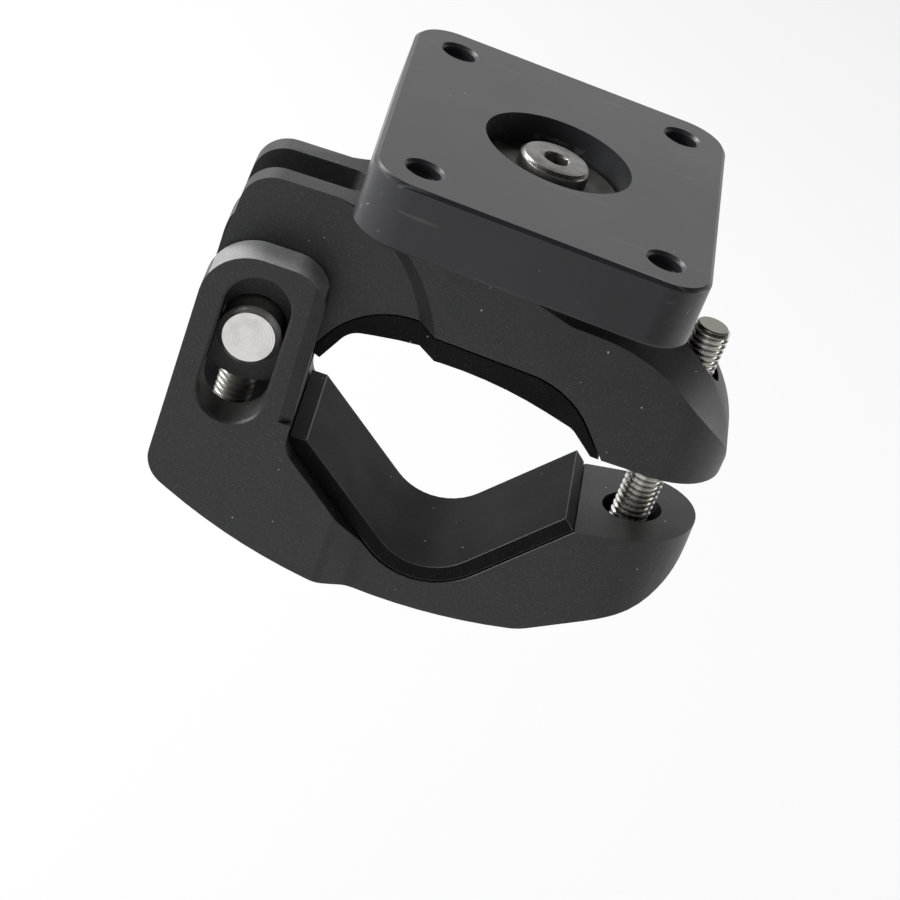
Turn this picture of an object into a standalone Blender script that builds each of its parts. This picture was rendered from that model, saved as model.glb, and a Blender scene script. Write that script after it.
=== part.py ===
# Pipe clamp with a swivelling mounting plate, to the real size, in metres.
# The origin is the centre of the gripped pipe. Y runs along the pipe, Z is square to the plate.

import math

import bmesh
import bpy
from mathutils import Matrix, Vector

MM = 0.001

# Fits and clearances
CONTACT = 0.25 * MM  # between two pieces that touch
RUNNING = 0.20 * MM  # round a piece that turns or slides
THREAD_PLAY = 0.60 * MM  # round the clamp screw where it crosses its insert
ROCKING = 1.30 * MM  # round the clamp screw in the lower lug, so that the lug can swing
EDGE_BREAK = 0.35 * MM  # chamfer on the rims of small turned pieces
OVERCUT = 2.0 * MM  # how far a cutting shape runs past the face it opens
FACE_OFFSET = 0.02 * MM  # keeps the face of a trimming shape out of the plane of the face it passes

# Mounting plate
PLATE_WIDTH = 42.0 * MM
PLATE_LENGTH = 50.0 * MM
PLATE_THICKNESS = 8.4 * MM
PLATE_TOP = 40.5 * MM
PLATE_CORNER = 5.6 * MM
PLATE_EDGE = 0.45 * MM
HOLE_MARGIN = 6.0 * MM  # from the plate's edges to the holes' centres, which gives 30 x 38 mm
HOLE_RADIUS = 2.12 * MM
HOLE_SINK = 0.4 * MM
RECESS_RADIUS = 9.45 * MM
RECESS_WASHER_DEPTH = 3.6 * MM  # from the plate's top to the washer's top
PLATE_WASHER_THICKNESS = 1.0 * MM

# Screws, all with the same thread
THREAD_RADIUS = 2.45 * MM
CLEARANCE_HOLE = 2.8 * MM
TIP_CHAMFER = 0.55 * MM
PLATE_SCREW_LENGTH = 12.0 * MM
PLATE_HEAD_RADIUS = 4.5 * MM
PLATE_HEAD_HEIGHT = 2.5 * MM
PLATE_SOCKET = 3.0 * MM
CLAMP_HEAD_RADIUS = 4.25 * MM
CLAMP_HEAD_HEIGHT = 3.5 * MM
CLAMP_SOCKET = 3.0 * MM
SOCKET_DEPTH = 1.7 * MM
PIN_SCREW_LENGTH = 30.0 * MM
LUG_SCREW_LENGTH = 35.0 * MM
LUG_SCREW_X = 25.85 * MM
WASHER_RADIUS = 4.8 * MM
WASHER_THICKNESS = 1.0 * MM
ROCKING_GAP = 0.35 * MM  # over the clamp screw's washer, which rocks a little
INSERT_RADIUS = 4.0 * MM
INSERT_GROOVE = 0.45 * MM
INSERT_GROOVE_WIDTH = 1.6 * MM
PLATE_INSERT_LENGTH = 7.5 * MM
LUG_INSERT_LENGTH = 5.0 * MM
INSERT_SINK = 0.4 * MM

# Cross pin, which carries the fork of the lower jaw on the arm of the upper jaw
PIN_X = -27.3 * MM
PIN_Z = 7.2 * MM
PIN_RADIUS = 4.0 * MM
PIN_LENGTH = 20.0 * MM
PIN_CHAMFER = 0.7 * MM

# Upper jaw
BODY_HALF = 9.25 * MM
ARM_HALF = 6.25 * MM
RELIEF_ARM_RADIUS = 20.7 * MM  # round the pin, at the arm's faces
RELIEF_BODY_RADIUS = 22.9 * MM  # round the pin, at the body's faces
BOSS_RADIUS = 7.6 * MM
ARM_LEFT = -35.0 * MM
ARM_LEAN = 1.0 * MM
ARM_TOP = 26.8 * MM
ARM_TOP_RISE = 1.45 * MM
ARM_CORNER = 4.4 * MM
ARM_RIM_ROUND = 0.8 * MM
GROOVE_HALF = 3.0 * MM
GROOVE_END = -20.6 * MM
SHOULDER_TOP = 23.6 * MM
PEDESTAL_INSET = 0.25 * MM  # from the body's front and rear faces to the round pedestal
NOSE_ARC = 23.1 * MM
NOSE_CORNER_X = 26.66 * MM
NOSE_TIP_X = 34.3 * MM
NOSE_ROUND = 1.7 * MM
LUG_UNDERSIDE = 8.65 * MM
LUG_RISE = 0.65 * MM
LUG_NOSE_CENTRE = 25.2 * MM
UPPER_RIM_ROUND = 0.9 * MM

# Upper liner, seen along the pipe
UPPER_SEAT_TOP = 15.75 * MM
UPPER_SEAT_LEFT = -19.6 * MM
UPPER_SEAT_CORNER_LEFT = -15.5 * MM
UPPER_SEAT_CORNER_RIGHT = 12.0 * MM
UPPER_SEAT_RIGHT = 18.7 * MM
UPPER_SEAT_ARC_LEFT = 11.2 * MM
UPPER_SEAT_ARC_RIGHT = 12.0 * MM
UPPER_LINER_CREST = 14.2 * MM
UPPER_LINER_CREST_X = -1.3 * MM
UPPER_LINER_ARC = 52.0 * MM
UPPER_LINER_SHOULDER = 10.95 * MM
UPPER_LINER_INNER_LEFT = -15.9 * MM
UPPER_LINER_INNER_RIGHT = 13.9 * MM
UPPER_LINER_END_ROUND = 3.0 * MM
UPPER_LINER_END_WIDTH = 1.1 * MM
UPPER_LINER_END_DROP = 0.7 * MM  # how far its left end hangs below the pin's level

# Lower jaw, measured from the pin in its own frame, which leans with the slot
JAW_LEAN = math.radians(2.2)
CHEEK_HALF = 11.85 * MM
FORK_HALF = 6.5 * MM
CHEEK_LEFT = -7.45 * MM
CHEEK_RIGHT = 7.7 * MM
CHEEK_RIGHT_LEAN = 0.7 * MM
CHEEK_TOP = 11.45 * MM
CHEEK_ROUND_LEFT = 6.5 * MM
CHEEK_ROUND_RIGHT = 5.0 * MM
CHEEK_BEVEL = 1.7 * MM
CHEEK_BEVEL_END = -8.9 * MM
SLOT_TOP = 9.05 * MM
SLOT_BOTTOM = -11.2 * MM
SLOT_EDGE = 0.3 * MM
FORK_FLOOR = -15.4 * MM
FORK_WALL = 6.65 * MM
FORK_WALL_TOP = -9.2 * MM
FORK_CORNER = 2.0 * MM
KEEL_ARC = 72.7 * MM
KEEL_CORNER_X = 18.6 * MM
KEEL_CORNER_Z = -33.5 * MM
HEEL_Z = -21.2 * MM
HEEL_ROUND = 4.5 * MM
RAMP_X = 43.94 * MM
RAMP_Z = -27.78 * MM
RAMP_ROUND = 8.0 * MM
TOE_X = 60.9 * MM
TOE_Z = -18.1 * MM
TOE_ROUND = 12.0 * MM
PARTING_TOE_Z = -9.2 * MM
SHOULDER_START = 17.5 * MM
SHOULDER_END = 21.5 * MM
SHOULDER_ROUND = 3.1 * MM
LOWER_RIM_CHAMFER = 1.1 * MM
SCREW_WALL = 3.2 * MM  # under the fork's floor, over the pin screw's head
LUG_SEAT_Z = -7.0 * MM

# Lower liner, a vee in the lower jaw's frame
VEE_X = 29.45 * MM
VEE_Z = -26.23 * MM
VEE_HALF_ANGLE = math.radians(47.4)
VEE_LEAN = math.radians(4.2)
VEE_LEFT_LENGTH = 23.8 * MM
VEE_RIGHT_LENGTH = 22.0 * MM
VEE_ROUND = 8.0 * MM
LINER_THICKNESS = 2.0 * MM
LINER_END_ROUND = 3.4 * MM

# Fineness of the round stretches
ARC_STEP = math.radians(8)
SHORTEST_CHORD = 0.5 * MM
LONGEST_CHORD = 3.0 * MM
TURNED_STEPS = 48
SAME_CORNER = 0.01 * MM  # two corners of an outline nearer than this are one
SAME_POINT = 0.002 * MM  # two points of a mesh nearer than this are one


def clear_scene():
    for item in list(bpy.data.objects):
        bpy.data.objects.remove(item, do_unlink=True)


def outline(corners):
    """Turns corners (across, up, radius) of a closed shape into points, with arcs at the corners."""
    count = len(corners)
    places = [Vector(corner[:2]) for corner in corners]
    reaches = []
    turns = []
    for index in range(count):
        into = places[index] - places[index - 1]
        out = places[(index + 1) % count] - places[index]
        turn = math.atan2(into.x * out.y - into.y * out.x, into.dot(out))
        turns.append(turn)
        reaches.append(corners[index][2] * math.tan(abs(turn) / 2))
    scales = [1.0] * count
    for index in range(count):
        following = (index + 1) % count
        length = (places[following] - places[index]).length
        wanted = reaches[index] + reaches[following]
        if wanted > length:
            scales[index] = min(scales[index], length / wanted)
            scales[following] = min(scales[following], length / wanted)
    points = []
    for index in range(count):
        radius = corners[index][2] * scales[index]
        turn = turns[index]
        here = places[index]
        if radius == 0 or abs(turn) < math.radians(1):
            points.append(here)
            continue
        into = (here - places[index - 1]).normalized()
        side = Vector((-into.y, into.x)) * math.copysign(1, turn)
        start = here - into * reaches[index] * scales[index]
        centre = start + side * radius
        length = radius * abs(turn)
        steps = max(math.ceil(abs(turn) / ARC_STEP), math.ceil(length / LONGEST_CHORD))
        steps = min(steps, math.ceil(length / SHORTEST_CHORD))
        for step in range(steps + 1):
            arm = (start - centre).copy()
            arm.rotate(Matrix.Rotation(turn * step / steps, 2))
            points.append(centre + arm)
    return drop_repeats(points)


def drop_repeats(points):
    kept = []
    for point in points:
        if not kept or (point - kept[-1]).length > SAME_CORNER:
            kept.append(point)
    if (kept[0] - kept[-1]).length <= SAME_CORNER:
        kept.pop()
    return kept


def add_object(name, work, parent=None):
    mesh = bpy.data.meshes.new(name)
    bmesh.ops.recalc_face_normals(work, faces=work.faces)
    work.to_mesh(mesh)
    work.free()
    made = bpy.data.objects.new(name, mesh)
    bpy.context.scene.collection.objects.link(made)
    made.parent = parent
    return made


def loft(name, rings, parent=None):
    """A closed solid through rings that have the same number of points."""
    work = bmesh.new()
    loops = [[work.verts.new(point) for point in ring] for ring in rings]
    count = len(loops[0])
    for lower, upper in zip(loops, loops[1:]):
        for index in range(count):
            following = (index + 1) % count
            work.faces.new((lower[index], lower[following], upper[following], upper[index]))
    work.faces.new(loops[0])
    work.faces.new(list(reversed(loops[-1])))
    return add_object(name, work, parent)


def along_pipe(name, points, low, high, parent=None):
    """An outline in X and Z, extruded along Y."""
    rings = [[(point.x, level, point.y) for point in points] for level in (low, high)]
    return loft(name, rings, parent)


def upright(name, points, low, high, parent=None):
    """An outline in X and Y, extruded along Z."""
    rings = [[(point.x, point.y, level) for point in points] for level in (low, high)]
    return loft(name, rings, parent)


def turned(name, section, parent=None, closed=False, steps=TURNED_STEPS):
    """A section (radius, height) spun round Z. A closed section makes a ring."""
    work = bmesh.new()
    points = [work.verts.new((radius, 0, height)) for radius, height in section]
    edges = [work.edges.new(pair) for pair in zip(points, points[1:])]
    if closed:
        edges.append(work.edges.new((points[-1], points[0])))
    bmesh.ops.spin(
        work,
        geom=points + edges,
        cent=(0, 0, 0),
        axis=(0, 0, 1),
        angle=2 * math.pi,
        steps=steps,
        use_merge=True,
    )
    bmesh.ops.remove_doubles(work, verts=work.verts, dist=SAME_POINT)
    return add_object(name, work, parent)


def lay_along_y(item):
    item.data.transform(Matrix.Rotation(math.radians(-90), 4, "X"))


def frame_at(name, place, lean=0.0):
    empty = bpy.data.objects.new(name, None)
    bpy.context.scene.collection.objects.link(empty)
    empty.location = place
    empty.rotation_euler.y = -lean
    return empty


def combine(target, tool, operation="DIFFERENCE"):
    change = target.modifiers.new(tool.name, "BOOLEAN")
    change.operation = operation
    change.solver = "EXACT"
    change.object = tool
    tool.hide_render = True
    tool.display_type = "WIRE"


def bake(item):
    """Replaces the item's mesh by what its modifiers make of it."""
    bpy.context.view_layer.update()
    depsgraph = bpy.context.evaluated_depsgraph_get()
    mesh = bpy.data.meshes.new_from_object(item.evaluated_get(depsgraph))
    item.modifiers.clear()
    item.data = mesh


def soften(item, width, segments, wanted):
    """Bevels the sharp outer edges whose middle the test wants."""
    bake(item)
    work = bmesh.new()
    work.from_mesh(item.data)
    bmesh.ops.remove_doubles(work, verts=work.verts, dist=SAME_POINT)
    bmesh.ops.dissolve_limit(
        work,
        angle_limit=math.radians(0.5),
        verts=work.verts,
        edges=work.edges,
    )
    edges = []
    for edge in work.edges:
        if len(edge.link_faces) != 2 or edge.calc_face_angle_signed(0) < math.radians(28):
            continue
        middle = (edge.verts[0].co + edge.verts[1].co) / 2
        if wanted(middle, edge):
            edges.append(edge)
    bmesh.ops.bevel(
        work,
        geom=edges,
        offset=width,
        offset_type="OFFSET",
        segments=segments,
        profile=0.5,
        affect="EDGES",
        clamp_overlap=True,
        material=-1,
    )
    work.to_mesh(item.data)
    work.free()


def finish(item, colour, roughness, metallic, smooth_angle=30):
    material = bpy.data.materials.new(item.name)
    material.use_nodes = True
    shader = material.node_tree.nodes["Principled BSDF"]
    shader.inputs["Base Color"].default_value = (*colour, 1)
    shader.inputs["Roughness"].default_value = roughness
    shader.inputs["Metallic"].default_value = metallic
    item.data.materials.clear()
    item.data.materials.append(material)
    item.data.shade_smooth()
    item.data.set_sharp_from_angle(angle=math.radians(smooth_angle))


NYLON = ((0.022, 0.022, 0.023), 0.62, 0.0)
LINER_NYLON = ((0.012, 0.012, 0.013), 0.5, 0.0)
ACETAL = ((0.03, 0.03, 0.032), 0.42, 0.0)
STAINLESS = ((0.62, 0.61, 0.58), 0.28, 1.0)
WASHER_STEEL = ((0.24, 0.25, 0.22), 0.5, 1.0)
DARK_STEEL = ((0.2, 0.19, 0.18), 0.38, 1.0)
BRASS = ((0.72, 0.52, 0.25), 0.35, 1.0)


def circle(radius, height, steps=TURNED_STEPS):
    return [
        (radius * math.cos(angle), radius * math.sin(angle), height)
        for angle in (2 * math.pi * step / steps for step in range(steps))
    ]


def rod(name, radius, low, high, parent=None):
    return loft(name, [circle(radius, low), circle(radius, high)], parent)


def hexagon(across_flats, height):
    reach = across_flats / 2 / math.cos(math.radians(30))
    return circle(reach, height, 6)


def socket_screw(name, home, head_radius, head_height, socket, length):
    """A cap screw whose head's underside is at the home's origin, with its shank pointing down."""
    section = [
        (0, head_height),
        (head_radius - EDGE_BREAK, head_height),
        (head_radius, head_height - EDGE_BREAK),
        (head_radius, 0),
        (THREAD_RADIUS, 0),
        (THREAD_RADIUS, TIP_CHAMFER - length),
        (THREAD_RADIUS - TIP_CHAMFER, -length),
        (0, -length),
    ]
    screw = turned(name, section, home)
    rings = [
        hexagon(socket, head_height - SOCKET_DEPTH),
        hexagon(socket, head_height + OVERCUT),
    ]
    combine(screw, loft(name + "_socket", rings, home))
    return screw


def washer(name, home, outer, inner, thickness):
    """A flat ring whose top is at the home's origin."""
    section = [
        (inner, 0),
        (outer - EDGE_BREAK / 2, 0),
        (outer, -EDGE_BREAK / 2),
        (outer, EDGE_BREAK / 2 - thickness),
        (outer - EDGE_BREAK / 2, -thickness),
        (inner, -thickness),
    ]
    return turned(name, section, home, closed=True)


def insert(name, home, bore, length):
    """A threaded bush whose upper end is at the home's origin, with a keying groove in the middle."""
    middle = -length / 2
    half = INSERT_GROOVE_WIDTH / 2
    section = [
        (bore, 0),
        (INSERT_RADIUS, 0),
        (INSERT_RADIUS, middle + half),
        (INSERT_RADIUS - INSERT_GROOVE, middle + half - INSERT_GROOVE),
        (INSERT_RADIUS - INSERT_GROOVE, middle - half + INSERT_GROOVE),
        (INSERT_RADIUS, middle - half),
        (INSERT_RADIUS, -length),
        (bore, -length),
    ]
    return turned(name, section, home, closed=True)


# Levels that several pieces share
PLATE_UNDERSIDE = PLATE_TOP - PLATE_THICKNESS
PEDESTAL_TOP = PLATE_UNDERSIDE - CONTACT
PEDESTAL_RADIUS = BODY_HALF - PEDESTAL_INSET
PLATE_WASHER_TOP = PLATE_TOP - RECESS_WASHER_DEPTH
PLATE_HEAD_SEAT = PLATE_WASHER_TOP + CONTACT
PLATE_INSERT_TOP = PEDESTAL_TOP - INSERT_SINK
LUG_INSERT_TOP = LUG_UNDERSIDE + LUG_INSERT_LENGTH
LUG_WASHER_TOP = LUG_SEAT_Z - ROCKING_GAP
LUG_HEAD_SEAT = LUG_WASHER_TOP - WASHER_THICKNESS - CONTACT
PIN_SEAT = FORK_FLOOR - SCREW_WALL
PIN_WASHER_TOP = PIN_SEAT - CONTACT
PIN_HEAD_SEAT = PIN_WASHER_TOP - WASHER_THICKNESS - CONTACT
SLOT_HALF = PIN_RADIUS + RUNNING


def rounded_plate(inset, level):
    half_x = PLATE_WIDTH / 2 - inset
    half_y = PLATE_LENGTH / 2 - inset
    radius = PLATE_CORNER - inset
    corners = [
        (half_x, -half_y, radius),
        (half_x, half_y, radius),
        (-half_x, half_y, radius),
        (-half_x, -half_y, radius),
    ]
    return [(point.x, point.y, level) for point in outline(corners)]


def make_plate(home):
    rings = [
        rounded_plate(PLATE_EDGE, PLATE_UNDERSIDE),
        rounded_plate(0, PLATE_UNDERSIDE + PLATE_EDGE),
        rounded_plate(0, PLATE_TOP - PLATE_EDGE),
        rounded_plate(PLATE_EDGE, PLATE_TOP),
    ]
    plate = loft("mounting_plate", rings, home)
    floor = PLATE_WASHER_TOP - PLATE_WASHER_THICKNESS - CONTACT
    recess = rod("plate_recess", RECESS_RADIUS, floor, PLATE_TOP + OVERCUT, home)
    combine(plate, recess)
    low = PLATE_UNDERSIDE - OVERCUT
    combine(plate, rod("plate_bore", CLEARANCE_HOLE, low, PLATE_TOP, home))
    for side_x in (-1, 1):
        for side_y in (-1, 1):
            name = f"plate_hole_{'left' if side_x < 0 else 'right'}_{'front' if side_y < 0 else 'rear'}"
            rings = [
                circle(HOLE_RADIUS + HOLE_SINK + OVERCUT, low),
                circle(HOLE_RADIUS, PLATE_UNDERSIDE + HOLE_SINK),
                circle(HOLE_RADIUS, PLATE_TOP - HOLE_SINK),
                circle(HOLE_RADIUS + HOLE_SINK + OVERCUT, PLATE_TOP + OVERCUT),
            ]
            hole = loft(name, rings, home)
            across = PLATE_WIDTH / 2 - HOLE_MARGIN
            along = PLATE_LENGTH / 2 - HOLE_MARGIN
            hole.location = (side_x * across, side_y * along, 0)
            combine(plate, hole)
    finish(plate, *ACETAL)


def relief_cutter(name, side, parent=None):
    """The cone round the pin that clears a cheek of the fork, on one side of the upper jaw."""
    slope = (RELIEF_BODY_RADIUS - RELIEF_ARM_RADIUS) / (BODY_HALF - ARM_HALF)
    outer = BODY_HALF + OVERCUT
    steps = 2 * TURNED_STEPS
    rings = [
        circle(RELIEF_ARM_RADIUS, ARM_HALF, steps),
        circle(RELIEF_ARM_RADIUS + slope * (outer - ARM_HALF), outer, steps),
    ]
    cone = loft(name, rings, parent)
    cone.data.transform(Matrix.Rotation(math.radians(-90 * side), 4, "X"))
    cone.location = (PIN_X, 0, PIN_Z)
    return cone


def lug_plan(start, centre, tip, half):
    """The plan of a lug: straight sides and a round nose."""
    corners = [
        (start, -half, 0),
        (tip, -half, tip - centre),
        (tip, half, tip - centre),
        (start, half, 0),
    ]
    return outline(corners)


def upper_seat(gap):
    """The corners of the upper jaw's seat, or of the liner's back a gap inside it, left to right."""
    return [
        (UPPER_SEAT_LEFT + gap, PIN_Z + gap / 2, 0),
        (UPPER_SEAT_CORNER_LEFT + gap / 2, UPPER_SEAT_TOP - gap, UPPER_SEAT_ARC_LEFT - gap),
        (UPPER_SEAT_CORNER_RIGHT - gap / 2, UPPER_SEAT_TOP - gap, UPPER_SEAT_ARC_RIGHT - gap),
        (UPPER_SEAT_RIGHT - gap * math.sqrt(2), LUG_UNDERSIDE - LUG_RISE, 0),
    ]


def make_upper_jaw():
    boss_low = PIN_Z - BOSS_RADIUS
    boss_right = PIN_X + BOSS_RADIUS
    corners = [
        (PEDESTAL_RADIUS, SHOULDER_TOP, 0),
        (-PEDESTAL_RADIUS, ARM_TOP + ARM_TOP_RISE, 0),
        (ARM_LEFT + ARM_LEAN, ARM_TOP, ARM_CORNER),
        (ARM_LEFT, boss_low, BOSS_RADIUS),
        (boss_right, boss_low, BOSS_RADIUS),
        *upper_seat(0),
        (NOSE_TIP_X, LUG_UNDERSIDE, NOSE_ROUND),
        (NOSE_CORNER_X, SHOULDER_TOP, NOSE_ARC),
    ]
    jaw = along_pipe("upper_jaw", outline(corners), -BODY_HALF, BODY_HALF)
    bottom = boss_low - OVERCUT
    top = PEDESTAL_TOP + OVERCUT
    plan = lug_plan(ARM_LEFT - OVERCUT, LUG_NOSE_CENTRE, NOSE_TIP_X, BODY_HALF + FACE_OFFSET)
    combine(jaw, upright("upper_jaw_plan", plan, bottom, top), "INTERSECT")
    soften(jaw, UPPER_RIM_ROUND, 3, upper_rim)

    pedestal_rings = [
        circle(PEDESTAL_RADIUS, UPPER_SEAT_TOP + UPPER_LINER_END_ROUND),
        circle(PEDESTAL_RADIUS, PEDESTAL_TOP - EDGE_BREAK),
        circle(PEDESTAL_RADIUS - EDGE_BREAK, PEDESTAL_TOP),
    ]
    combine(jaw, loft("pedestal", pedestal_rings), "UNION")
    combine(jaw, relief_cutter("relief_front", -1))
    combine(jaw, relief_cutter("relief_rear", 1))

    groove_corners = [
        (GROOVE_END, -GROOVE_HALF, GROOVE_HALF / 2),
        (GROOVE_END, GROOVE_HALF, GROOVE_HALF / 2),
        (ARM_LEFT - OVERCUT, GROOVE_HALF, 0),
        (ARM_LEFT - OVERCUT, -GROOVE_HALF, 0),
    ]
    combine(jaw, upright("arm_groove", outline(groove_corners), bottom, top))

    pin_bore = rod("arm_pin_bore", PIN_RADIUS + RUNNING, -CHEEK_HALF, CHEEK_HALF)
    lay_along_y(pin_bore)
    pin_bore.location = (PIN_X, 0, PIN_Z)
    combine(jaw, pin_bore)

    pocket = INSERT_RADIUS + CONTACT
    low = PLATE_INSERT_TOP - PLATE_INSERT_LENGTH - CONTACT
    combine(jaw, rod("plate_insert_pocket", pocket, low, top))
    hole = rod("lug_insert_pocket", pocket, bottom, LUG_INSERT_TOP + CONTACT)
    hole.location.x = LUG_SCREW_X
    combine(jaw, hole)
    hole = rod("lug_screw_way", THREAD_RADIUS + THREAD_PLAY + CONTACT, bottom, top)
    hole.location.x = LUG_SCREW_X
    combine(jaw, hole)
    soften(jaw, ARM_RIM_ROUND, 2, arm_rim)
    finish(jaw, *NYLON)


def arm_rim(middle, edge):
    """The outer rims of the arm's two faces above the pin."""
    on_face = all(abs(abs(end.co.y) - ARM_HALF) < FACE_OFFSET for end in edge.verts)
    return on_face and middle.z > PIN_Z + BOSS_RADIUS


def upper_rim(middle, edge):
    """The rims of the front and rear faces along the body's top and round the nose."""
    on_face = abs(middle.y) > BODY_HALF - EDGE_BREAK or middle.x > LUG_NOSE_CENTRE
    return on_face and middle.x > 0 and middle.z > LUG_UNDERSIDE + LUG_RISE


def make_upper_liner():
    end = UPPER_LINER_END_WIDTH
    back = upper_seat(CONTACT)
    tip = (back[0][0], PIN_Z - UPPER_LINER_END_DROP, 0)
    corners = [
        tip,
        *back,
        (back[-1][0] - end, back[-1][1], 0),
        (UPPER_LINER_INNER_RIGHT, UPPER_LINER_SHOULDER - CONTACT, UPPER_LINER_END_ROUND),
        (UPPER_LINER_CREST_X, UPPER_LINER_CREST, UPPER_LINER_ARC),
        (UPPER_LINER_INNER_LEFT, UPPER_LINER_SHOULDER, UPPER_LINER_END_ROUND),
        (tip[0] + end, tip[1] - end / 3, 0),
    ]
    liner = along_pipe("upper_liner", outline(corners), -BODY_HALF, BODY_HALF)
    combine(liner, relief_cutter("liner_relief_front", -1))
    combine(liner, relief_cutter("liner_relief_rear", 1))
    finish(liner, *LINER_NYLON)


def vee_point(side, length, offset):
    """A point on a flank of the vee, in the lower jaw's frame. The offset goes into the jaw."""
    angle = math.radians(90) + VEE_LEAN - side * VEE_HALF_ANGLE
    flank = Vector((math.cos(angle), math.sin(angle)))
    outward = Vector((side * flank.y, -side * flank.x))
    return Vector((VEE_X, VEE_Z)) + flank * length + outward * offset


def vee_floor(offset):
    """The corner at the bottom of the vee, moved into the jaw by the offset."""
    down = Vector((math.sin(VEE_LEAN), -math.cos(VEE_LEAN)))
    return Vector((VEE_X, VEE_Z)) + down * offset / math.sin(VEE_HALF_ANGLE)


def cheek_right_at(level):
    """The right side of the cheeks leans out a little towards the seat."""
    return CHEEK_RIGHT + CHEEK_RIGHT_LEAN * (CHEEK_TOP - level) / (CHEEK_TOP - FORK_WALL_TOP)


def seat_left_end(offset, across):
    """Where the left flank, moved into the jaw, meets the upright through a given place."""
    near = vee_point(-1, 0, offset)
    far = vee_point(-1, VEE_LEFT_LENGTH, offset)
    share = (across - near.x) / (far.x - near.x)
    return near + (far - near) * share


def make_lower_jaw(home):
    seat_offset = LINER_THICKNESS + CONTACT
    seat_floor = vee_floor(seat_offset)
    seat_wall = cheek_right_at(FORK_WALL_TOP)
    seat_left = seat_left_end(seat_offset, seat_wall)
    seat_right = vee_point(1, VEE_RIGHT_LENGTH, seat_offset)
    corners = [
        (CHEEK_LEFT, CHEEK_TOP, CHEEK_ROUND_LEFT),
        (CHEEK_LEFT, HEEL_Z, HEEL_ROUND),
        (KEEL_CORNER_X, KEEL_CORNER_Z, KEEL_ARC),
        (RAMP_X, RAMP_Z, RAMP_ROUND),
        (TOE_X, TOE_Z, TOE_ROUND),
        (TOE_X, PARTING_TOE_Z, 0),
        (seat_right.x, seat_right.y, 0),
        (seat_floor.x, seat_floor.y, VEE_ROUND + seat_offset),
        (seat_left.x, seat_left.y, LINER_END_ROUND + CONTACT),
        (CHEEK_RIGHT, CHEEK_TOP, CHEEK_ROUND_RIGHT),
    ]
    jaw = along_pipe("lower_jaw", outline(corners), -CHEEK_HALF, CHEEK_HALF, home)
    wide = CHEEK_HALF + FACE_OFFSET
    plan_corners = [
        (CHEEK_LEFT - OVERCUT, -wide, 0),
        (SHOULDER_START, -wide, SHOULDER_ROUND),
        (SHOULDER_END, -BODY_HALF, SHOULDER_ROUND),
        (TOE_X, -BODY_HALF, BODY_HALF),
        (TOE_X, BODY_HALF, BODY_HALF),
        (SHOULDER_END, BODY_HALF, SHOULDER_ROUND),
        (SHOULDER_START, wide, SHOULDER_ROUND),
        (CHEEK_LEFT - OVERCUT, wide, 0),
    ]
    plan = upright("lower_jaw_plan", outline(plan_corners), KEEL_CORNER_Z - OVERCUT, CHEEK_TOP + OVERCUT, home)
    combine(jaw, plan, "INTERSECT")
    soften(jaw, LOWER_RIM_CHAMFER, 1, lower_rim)

    fork_corners = [
        (CHEEK_LEFT - OVERCUT, FORK_FLOOR, 0),
        (FORK_WALL, FORK_FLOOR, FORK_CORNER),
        (FORK_WALL, FORK_WALL_TOP, 0),
        (CHEEK_RIGHT + CHEEK_RIGHT_LEAN + OVERCUT, FORK_WALL_TOP, 0),
        (CHEEK_RIGHT + CHEEK_RIGHT_LEAN + OVERCUT, CHEEK_TOP + OVERCUT, 0),
        (CHEEK_LEFT - OVERCUT, CHEEK_TOP + OVERCUT, 0),
    ]
    combine(jaw, along_pipe("fork_gap", outline(fork_corners), -FORK_HALF, FORK_HALF, home))

    for side, word in ((-1, "front"), (1, "rear")):
        combine(jaw, slot_cutter(f"slot_{word}", side, home))
        combine(jaw, cheek_bevel_cutter(f"cheek_bevel_{word}", side, home))

    bore = CLEARANCE_HOLE
    combine(jaw, rod("pin_screw_way", bore, PIN_SEAT - OVERCUT, FORK_FLOOR + OVERCUT, home))
    sink = WASHER_RADIUS + CONTACT
    combine(jaw, rod("pin_screw_sink", sink, KEEL_CORNER_Z, PIN_SEAT, home))

    lug_home = frame_at("lug_screw_line", (LUG_SCREW_X, 0, 0))
    way = rod("lug_screw_opening", THREAD_RADIUS + ROCKING, LUG_SEAT_Z - OVERCUT, LUG_UNDERSIDE, lug_home)
    combine(jaw, way)
    sink = WASHER_RADIUS + ROCKING
    combine(jaw, rod("lug_screw_sink", sink, KEEL_CORNER_Z, LUG_SEAT_Z, lug_home))
    finish(jaw, *NYLON)


def lower_rim(middle, edge):
    """The rims of the front and rear faces along the keel, up to the toe."""
    run = (edge.verts[1].co - edge.verts[0].co).normalized()
    below = middle.z < HEEL_Z + HEEL_ROUND and middle.x < TOE_X - NOSE_ROUND
    return below and abs(run.z) < 0.95 and abs(middle.y) > BODY_HALF / 3


def slot_cutter(name, side, home):
    """The long hole for the pin in one cheek, with its outer rim broken."""
    middle = (SLOT_TOP + SLOT_BOTTOM) / 2
    half_length = (SLOT_TOP - SLOT_BOTTOM) / 2

    def ring(extra, across):
        reach = SLOT_HALF + extra
        rise = half_length + extra
        corners = [
            (reach, middle - rise, reach),
            (reach, middle + rise, reach),
            (-reach, middle + rise, reach),
            (-reach, middle - rise, reach),
        ]
        return [(point.x, side * across, point.y) for point in outline(corners)]

    rings = [
        ring(0, FORK_HALF - OVERCUT / 2),
        ring(0, CHEEK_HALF - SLOT_EDGE),
        ring(SLOT_EDGE + OVERCUT, CHEEK_HALF + OVERCUT),
    ]
    return loft(name, rings, home)


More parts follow.
